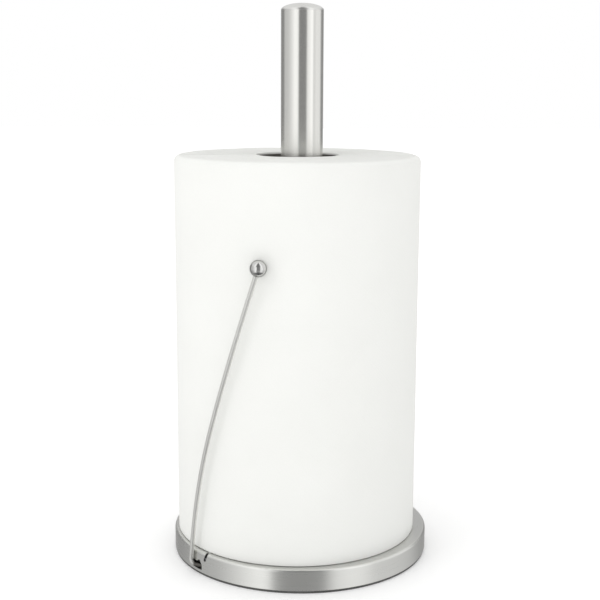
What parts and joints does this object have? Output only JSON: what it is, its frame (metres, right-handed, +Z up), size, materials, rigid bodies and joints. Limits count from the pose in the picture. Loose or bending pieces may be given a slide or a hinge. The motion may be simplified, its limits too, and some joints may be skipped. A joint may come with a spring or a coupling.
{
  "type": "paper towel holder",
  "caption": "Free-standing paper towel holder: weighted round steel base, upright tube post, sprung wire arm with a ball end, and a full paper roll that spins and lifts off.",
  "frame": {"origin": "centre of the foot pad's underside, on the post's axis", "axes": "+Z up along the post, -Y is the front, so the foot of the arm is at the front left"},
  "size_m": [0.15, 0.1521, 0.3175],
  "materials": {
    "cover_steel": "satin",
    "post_steel": "satin",
    "cap_steel": "satin",
    "arm_chrome": "polished",
    "iron": "matte",
    "pad": "matte",
    "plated_steel": "satin",
    "spring_steel": "satin",
    "nylon": "matte",
    "card": "matte",
    "tissue": "matte"
  },
  "bodies": {
    "stand": {"base_shell": "cover_steel", "base_weight": "iron", "foot_pad": "pad", "post_tube": "post_steel", "post_cap": "cap_steel", "post_plug": "plated_steel", "post_screw": "plated_steel", "plain_washer": "plated_steel", "lock_washer": "spring_steel", "hinge_bracket": "plated_steel", "axle_bushes": "nylon", "bracket_screws": "plated_steel", "torsion_spring": "spring_steel"},
    "arm": {"arm_wire": "arm_chrome", "arm_ball": "arm_chrome"},
    "core": {"roll_core": "card"},
    "paper": {"paper_winding": "tissue"}
  },
  "joints": [
    {"name": "arm_swing", "type": "hinge", "parent": "stand", "child": "arm", "pos_m": [-0.06221, -0.0447, 0.0045], "axis": [0.9438, -0.3305, 0], "range_deg": [0, 55], "stiffness_Nm_per_rad": 0.15, "springref_deg": -80.21, "deforming": ["torsion_spring"]},
    {"name": "roll_lift", "type": "slide", "parent": "stand", "child": "core", "axis": [0, 0, 1], "range_m": [0, 0.305]},
    {"name": "roll_spin", "type": "hinge", "parent": "core", "child": "paper", "pos_m": [-0.0026, 0, 0.1234], "axis": [0, 0, 1], "continuous": true}
  ]
}
